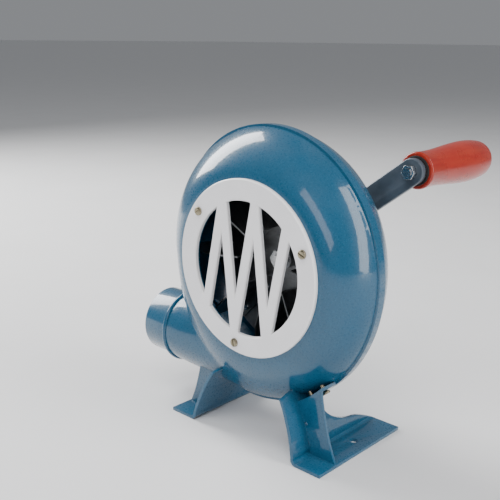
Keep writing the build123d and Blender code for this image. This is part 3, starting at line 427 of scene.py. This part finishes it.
def arm_material(scene):
    """Dark slate coat over a rolled bar, its edges painted pale: rubbed wear and a painted highlight."""
    material, tree, shader = start_material("arm_steel", Coat_Weight=0.2, Coat_Roughness=0.3)
    colour = scene.blower_finishes.arm
    grain = place_group(tree, "Metal grain", {"Along": (0.35, 1.0, 0.5), "Fineness": 500.0})
    wear = place_group(tree, "Edge wear", {"Reach": 0.0008, "Grain": 500.0, "Amount": 0.95})
    smudge = place_group(tree, "Smudge", {"Scale": 60.0, "Low": 0.35, "High": 0.7})
    coat = mix_colour(tree, smudge.outputs["Mask"], tint(colour, 0.8), tint(colour, 1.25))
    # Edges painted pale and metallic: partly rubbed wear, partly a painted highlight.
    worn_and_highlit_edges = mix_colour(tree, wear.outputs["Mask"], coat, (0.42, 0.45, 0.47))
    join(tree, worn_and_highlit_edges, shader.inputs["Base Color"])
    join(tree, spread(tree, wear.outputs["Mask"], 0.0, 1.0, 0.25, 0.85), shader.inputs["Metallic"])
    join(tree, spread(tree, grain.outputs["Tone"], 0.0, 1.0, 0.34, 0.5), shader.inputs["Roughness"])
    add_bump(tree, shader, grain.outputs["Height"], 0.00004, 0.4)
    return material


def grip_material(scene):
    """Glossy orange-red moulded plastic with faint flow marks."""
    material, tree, shader = start_material(
        "grip_plastic", Coat_Weight=0.35, Coat_Roughness=0.12, Specular_IOR_Level=0.35
    )
    colour = scene.blower_finishes.grip
    smudge = place_group(tree, "Smudge", {"Scale": 35.0, "Low": 0.3, "High": 0.75})
    wear = place_group(tree, "Edge wear", {"Reach": 0.0006, "Grain": 900.0, "Amount": 0.35})
    flow = place_group(tree, "Metal grain", {"Along": (1.0, 0.12, 1.0), "Fineness": 220.0})
    body = mix_colour(tree, smudge.outputs["Mask"], tint(colour, 0.82), tint(colour, 1.12))
    flow_lines = maths(tree, "MULTIPLY", flow.outputs["Tone"], 0.12)
    flowed = mix_colour(tree, flow_lines, body, (0.75, 0.16, 0.06))
    scuffed = mix_colour(tree, wear.outputs["Mask"], flowed, (0.78, 0.32, 0.20))
    join(tree, scuffed, shader.inputs["Base Color"])
    join(tree, spread(tree, smudge.outputs["Mask"], 0.0, 1.0, 0.22, 0.34), shader.inputs["Roughness"])
    add_bump(tree, shader, flow.outputs["Height"], 0.00004, 0.35)
    return material


def metal_material(name, colour, roughness, along=(1.0, 1.0, 1.0), fineness=900.0, tarnish=0.15,
                   depth=0.00002):
    """Bare metal with a directional grain, uneven tarnish and brighter edges."""
    material, tree, shader = start_material(name, Metallic=1.0)
    grain = place_group(tree, "Metal grain", {"Along": along, "Fineness": fineness})
    smudge = place_group(tree, "Smudge", {"Scale": 120.0, "Low": 0.45, "High": 0.75})
    wear = place_group(tree, "Edge wear", {"Reach": 0.0004, "Grain": 1500.0, "Amount": 0.4})
    toned = mix_colour(tree, grain.outputs["Tone"], tint(colour, 0.86), tint(colour, 1.1))
    dulling = maths(tree, "MULTIPLY", smudge.outputs["Mask"], tarnish)
    dulled = mix_colour(tree, dulling, toned, (0.10, 0.08, 0.06))
    bright = mix_colour(tree, wear.outputs["Mask"], dulled, tint(colour, 1.5, 0.92))
    join(tree, bright, shader.inputs["Base Color"])
    smoothest = roughness * 0.8
    roughest = min(roughness * 1.25, 1.0)
    lined = spread(tree, grain.outputs["Tone"], 0.0, 1.0, smoothest, roughest)
    join(tree, maths(tree, "ADD", lined, maths(tree, "MULTIPLY", smudge.outputs["Mask"], 0.12)),
         shader.inputs["Roughness"])
    add_bump(tree, shader, grain.outputs["Height"], depth, 0.4)
    return material


def fibre_material(name, dark, light, fineness, detail, dullest, depth):
    """Pressed fibre or oiled paper with short strands."""
    material, tree, shader = start_material(name)
    strands = noise(tree, fineness, detail, 0.7)
    join(tree, mix_colour(tree, spread(tree, strands, 0.3, 0.7), dark, light), shader.inputs["Base Color"])
    join(tree, spread(tree, strands, 0.3, 0.7, 0.6, dullest), shader.inputs["Roughness"])
    add_bump(tree, shader, strands, depth, 0.5)
    return material


PAINTS = {
    "blue_enamel": enamel_material,
    "grille_plate": plate_material,
    "arm_steel": arm_material,
    "grip_plastic": grip_material,
}

FIBRES = {
    "gasket_paper": {
        "dark": (0.11, 0.08, 0.05), "light": (0.20, 0.16, 0.10), "fineness": 1800.0, "detail": 5.0,
        "dullest": 0.85, "depth": 0.00005,
    },
    # Near-black fibre for the washer in the grip's recess, a painted shade for the gap between the arm and
    # the grip.
    "painted_shade_black": {
        "dark": (0.006, 0.006, 0.007), "light": (0.022, 0.021, 0.020), "fineness": 2200.0, "detail": 4.0,
        "dullest": 0.8, "depth": 0.00004,
    },
}

METALS = {
    "screw_nickel": {"colour": (0.36, 0.32, 0.22), "roughness": 0.24, "tarnish": 0.6},
    "cast_alloy": {"colour": (0.52, 0.53, 0.54), "roughness": 0.5, "fineness": 420.0, "depth": 0.00012},
    "zinc_steel": {"colour": (0.64, 0.66, 0.68), "roughness": 0.22, "tarnish": 0.25},
    "bush_bronze": {"colour": (0.52, 0.33, 0.16), "roughness": 0.42, "fineness": 1400.0},
    "ground_steel": {"colour": (0.58, 0.59, 0.60), "roughness": 0.2, "along": (1.0, 0.1, 1.0)},
    "sheet_steel": {
        "colour": (0.30, 0.31, 0.32), "roughness": 0.38, "tarnish": 0.4, "along": (0.2, 1.0, 1.0),
    },
    "gear_steel": {"colour": (0.33, 0.32, 0.30), "roughness": 0.3, "tarnish": 0.6},
}


def material_for(slot, context):
    """The finish of a material slot, made on first use."""
    known = bpy.data.materials.get(slot)
    if known and known.get("blower_finish"):
        return known
    if known:
        known.name = slot + "_plain"
    if slot in METALS:
        material = metal_material(slot, **METALS[slot])
    elif slot in FIBRES:
        material = fibre_material(slot, **FIBRES[slot])
    else:
        material = PAINTS[slot](context.scene)
    material["blower_finish"] = True
    return material


def dress(obj, material):
    """Give a piece one material all over."""
    if not obj.material_slots:
        obj.data.materials.append(material)
    for entry in obj.material_slots:
        entry.material = material


# ---------------------------------------------------------------- mesh helpers

def softened_copy(node, name, width, steps):
    """A copy of a CAD node, merged, with flat faces joined and its sharp edges rounded."""
    mesh = frame["nodes"][node].data.copy()
    work = bmesh.new()
    work.from_mesh(mesh)
    bmesh.ops.remove_doubles(work, verts=work.verts, dist=MERGE_REACH)
    bmesh.ops.dissolve_limit(work, angle_limit=FLAT_ANGLE, verts=work.verts, edges=work.edges)
    sharp = [
        edge for edge in work.edges
        if len(edge.link_faces) == 2 and edge.calc_face_angle(0.0) > SHARP_ANGLE
    ]
    bmesh.ops.bevel(work, geom=sharp, offset=width, offset_type="OFFSET", segments=steps, profile=0.5,
                    affect="EDGES", clamp_overlap=True, material=-1)
    for face in work.faces:
        face.smooth = True
    work.to_mesh(mesh)
    work.free()
    mesh.name = name
    piece = bpy.data.objects.new(name, mesh)
    bpy.context.scene.collection.objects.link(piece)
    return piece


def soften(context, node, share=1.0):
    """Replace a CAD node by a copy whose edges are rounded by a share of the sheet edge."""
    sizes = context.scene.blower_sizes
    piece = softened_copy(node, node + "_rounded", sizes.sheet_edge * share, sizes.edge_steps)
    dress(piece, material_for(node_slots()[node], context))
    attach(piece, body_of(node))
    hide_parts(node)


def turned_ring(name, profile, centre):
    """Ring turned from a closed profile of (radius, y) about an axis along Y at (x, z)."""
    work = bmesh.new()
    verts = [work.verts.new((centre[0] + radius, y, centre[1])) for radius, y in profile]
    edges = [work.edges.new((verts[index], verts[index - 1])) for index in range(len(verts))]
    bmesh.ops.spin(work, geom=verts + edges, cent=(centre[0], 0.0, centre[1]), axis=(0.0, 1.0, 0.0),
                   angle=math.tau, steps=RING_STEPS, use_merge=True)
    bmesh.ops.recalc_face_normals(work, faces=work.faces)
    for face in work.faces:
        face.smooth = True
    mesh = bpy.data.meshes.new(name)
    work.to_mesh(mesh)
    work.free()
    mesh.set_sharp_from_angle(angle=RING_SHARP_ANGLE)
    piece = bpy.data.objects.new(name, mesh)
    bpy.context.scene.collection.objects.link(piece)
    return piece


def body_of(node):
    """Name of the moving body that holds a CAD node."""
    bodies = frame["record"]["behaviour"]["bodies"]
    return next(body for body, nodes in bodies.items() if node in nodes)


def node_slots():
    """Material slot of every CAD node."""
    return {entry["node"]: entry["material_slot"] for entry in frame["record"]["subparts"]}


# ---------------------------------------------------------------- operators

class BLOWER_OT_effects(Operator):
    """Build the shared shader effects."""

    bl_idname = "blower.effects"
    bl_label = "Shared effects"

    def execute(self, context):
        build_flakes()
        build_edge_wear()
        build_dust()
        build_grain()
        build_smudge()
        return {"FINISHED"}


class BLOWER_OT_finishes(Operator):
    """Give every piece of the frame its finish."""

    bl_idname = "blower.finishes"
    bl_label = "Finishes"

    def execute(self, context):
        for node, slot in node_slots().items():
            dress(frame["nodes"][node], material_for(slot, context))
        return {"FINISHED"}


class BLOWER_OT_feet(Operator):
    """Round the pressed edges of both feet."""

    bl_idname = "blower.feet"
    bl_label = "Feet"

    def execute(self, context):
        for node in ("right_foot", "left_foot"):
            soften(context, node)
        return {"FINISHED"}


class BLOWER_OT_casing(Operator):
    """Round the rims of the two pressings."""

    bl_idname = "blower.casing"
    bl_label = "Casing"

    def execute(self, context):
        soften(context, "front_shell")
        soften(context, "rear_shell", 0.8)
        return {"FINISHED"}


class BLOWER_OT_spout(Operator):
    """Round the mouth of the spout."""

    bl_idname = "blower.spout"
    bl_label = "Spout"

    def execute(self, context):
        soften(context, "outlet_sleeve", 0.6)
        return {"FINISHED"}


class BLOWER_OT_gearbox(Operator):
    """Round the edges of the gearbox castings and of its screws."""

    bl_idname = "blower.gearbox"
    bl_label = "Gearbox"

    def execute(self, context):
        soften(context, "gearbox_cover")
        soften(context, "gearbox_base")
        soften(context, "gearbox_screws", 0.4)
        return {"FINISHED"}


class BLOWER_OT_crank(Operator):
    """Round the edges of the crank arm, its nuts and washers."""

    bl_idname = "blower.crank"
    bl_label = "Crank"

    def execute(self, context):
        soften(context, "crank_arm", 0.5)
        for node in ("crank_nut", "grip_nut", "crank_washer", "grip_washer", "crank_spacer"):
            soften(context, node, 0.7)
        return {"FINISHED"}


class BLOWER_OT_painted_shade_washer(Operator):
    """Dark fibre washer in the recess of the grip, put there as painted shade for the dark gap between the
    arm and the grip.
    """

    bl_idname = "blower.fibre_washer"
    bl_label = "Fibre washer"

    def execute(self, context):
        sizes = context.scene.blower_sizes
        low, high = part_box("grip_washer")
        grip_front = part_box("grip")[0].y
        centre = ((low.x + high.x) / 2, (low.z + high.z) / 2)
        bore = sizes.shade_washer_bore
        outer = sizes.shade_washer_radius
        edge = sizes.shade_washer_edge
        front = high.y + sizes.shade_washer_gap
        rear = grip_front + sizes.grip_recess
        profile = (
            (bore, front), (outer - edge, front), (outer, front + edge),
            (outer, rear - edge), (outer - edge, rear), (bore, rear),
        )
        # Dark ring in the grip's recess: painted shade for the gap between the arm and the grip.
        piece = turned_ring("painted_shade_washer", profile, centre)
        dress(piece, material_for("painted_shade_black", context))
        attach(piece, "hand_grip")
        return {"FINISHED"}


class BLOWER_OT_screws(Operator):
    """Round the heads of the small screws."""

    bl_idname = "blower.screws"
    bl_label = "Small screws"

    def execute(self, context):
        soften(context, "foot_screws", 1.4)
        soften(context, "grille_screws", 0.3)
        return {"FINISHED"}


class BLOWER_OT_stage(Operator):
    """Lay the floor and set the lights and the camera."""

    bl_idname = "blower.stage"
    bl_label = "Stage"

    def execute(self, context):
        lay_floor(context.scene.blower_stage.floor_reach)
        set_world(context.scene)
        for name, settings in LIGHTS.items():
            area_light(name, **settings)
        set_camera(context.scene)
        return {"FINISHED"}


# ---------------------------------------------------------------- stage

def lay_floor(reach):
    """Plain pale floor under the feet."""
    work = bmesh.new()
    bmesh.ops.create_grid(work, x_segments=2, y_segments=2, size=reach)
    mesh = bpy.data.meshes.new("floor")
    work.to_mesh(mesh)
    work.free()
    floor = bpy.data.objects.new("floor", mesh)
    bpy.context.scene.collection.objects.link(floor)
    material, tree, shader = start_material("pale_floor")
    tone = spread(tree, noise(tree, 9.0, 3.0), 0.3, 0.7)
    join(tree, mix_colour(tree, tone, (0.78, 0.78, 0.78), (0.80, 0.80, 0.80)), shader.inputs["Base Color"])
    join(tree, spread(tree, tone, 0.0, 1.0, 0.7, 0.75), shader.inputs["Roughness"])
    floor.data.materials.append(material)


def set_world(scene):
    """Even pale surroundings."""
    world = bpy.data.worlds.new("pale_room")
    world.use_nodes = True
    background = world.node_tree.nodes["Background"]
    background.inputs["Color"].default_value = (0.92, 0.95, 1.0, 1.0)
    background.inputs["Strength"].default_value = scene.blower_stage.room_light
    scene.world = world


# A softbox at the left, a dim strip before the dome, a strip at the right and a broad top light.
# Each direction is from the blower's middle; "along" is the way the long side lies.
LIGHTS = {
    "softbox_left": {
        "direction": (-0.83, -0.02, 0.53), "along": (0.3, 0.3, 0.5), "distance": 1.6,
        "width": 0.62, "length": 1.30, "power": 38.0,
    },
    "strip_front": {
        "direction": (0.42, -0.76, 0.50), "along": (0.64, 0.0, -0.51), "distance": 1.6,
        "width": 0.42, "length": 1.25, "power": 5.0, "colour": (1.0, 0.94, 1.0),
    },
    "strip_right": {
        "direction": (0.882, 0.171, 0.438), "along": (0.41, -0.15, -0.80), "distance": 1.5,
        "width": 0.46, "length": 1.75, "power": 17.0,
    },
    "top": {
        "direction": (0.15, -0.55, 1.0), "along": (1.0, 0.0, 0.0), "distance": 1.9,
        "width": 1.2, "length": 1.4, "power": 24.0, "reflected": False,
    },
}


def area_light(name, direction, along, distance, width, length, power, colour=(1.0, 1.0, 1.0),
               reflected=True):
    """Rectangular soft light that faces the blower, seen in glossy surfaces or not."""
    middle = (CAD_BOX[0] + CAD_BOX[1]) / 2
    data = bpy.data.lights.new(name, "AREA")
    data.shape = "RECTANGLE"
    data.size = width
    data.size_y = length
    data.energy = power
    data.color = colour
    lamp = bpy.data.objects.new(name, data)
    lamp.visible_glossy = reflected
    bpy.context.scene.collection.objects.link(lamp)
    out = Vector(direction).normalized()
    side = Vector(along).cross(out).normalized()
    turned = Matrix((side, out.cross(side), out)).transposed().to_4x4()
    lamp.matrix_world = Matrix.Translation(middle + out * distance) @ turned


def set_camera(scene):
    """Camera at its azimuth, elevation, roll and distance from the inlet plate's middle."""
    stage = scene.blower_stage
    low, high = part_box("inlet_grille")
    aim = Vector(((low.x + high.x) / 2, high.y, (low.z + high.z) / 2))
    turn = stage.azimuth
    rise = stage.elevation
    right = Vector((math.cos(turn), math.sin(turn), 0.0))
    back = Vector((math.sin(turn) * math.cos(rise), -math.cos(turn) * math.cos(rise), math.sin(rise)))
    roll = Matrix.Rotation(stage.roll, 3, back)
    right = roll @ right
    up = back.cross(right)
    data = bpy.data.cameras.new("camera")
    data.sensor_width = 36.0
    data.lens = stage.lens
    camera = bpy.data.objects.new("camera", data)
    scene.collection.objects.link(camera)
    turned = Matrix((right, up, back)).transposed().to_4x4()
    place = aim + back * stage.distance + right * stage.slide_right + up * stage.slide_up
    camera.matrix_world = Matrix.Translation(place) @ turned
    scene.camera = camera


# ---------------------------------------------------------------- panel and registration

OPERATORS = (
    BLOWER_OT_effects,
    BLOWER_OT_finishes,
    BLOWER_OT_feet,
    BLOWER_OT_spout,
    BLOWER_OT_gearbox,
    BLOWER_OT_crank,
    BLOWER_OT_painted_shade_washer,
    BLOWER_OT_screws,
    BLOWER_OT_casing,
    BLOWER_OT_stage,
)


class BLOWER_PT_panel(Panel):
    """Lists the blower's pieces in the sidebar."""

    bl_idname = "BLOWER_PT_panel"
    bl_label = "Forge blower"
    bl_space_type = "VIEW_3D"
    bl_region_type = "UI"
    bl_category = "Blower"

    def draw(self, context):
        for group in ("blower_finishes", "blower_sizes", "blower_stage"):
            box = self.layout.box()
            for key in getattr(context.scene, group).bl_rna.properties.keys():
                if key not in ("rna_type", "name"):
                    box.prop(getattr(context.scene, group), key)
        for operator in OPERATORS:
            self.layout.operator(operator.bl_idname)


CLASSES = (BlowerFinishes, BlowerSizes, BlowerStage, *OPERATORS, BLOWER_PT_panel)


def register():
    for entry in CLASSES:
        bpy.utils.register_class(entry)
    bpy.types.Scene.blower_finishes = PointerProperty(type=BlowerFinishes)
    bpy.types.Scene.blower_sizes = PointerProperty(type=BlowerSizes)
    bpy.types.Scene.blower_stage = PointerProperty(type=BlowerStage)


def unregister():
    del bpy.types.Scene.blower_stage
    del bpy.types.Scene.blower_sizes
    del bpy.types.Scene.blower_finishes
    for entry in reversed(CLASSES):
        bpy.utils.unregister_class(entry)


def main():
    register()
    for operator in OPERATORS:
        group, name = operator.bl_idname.split(".")
        getattr(getattr(bpy.ops, group), name)()


if __name__ == "__main__":
    main()
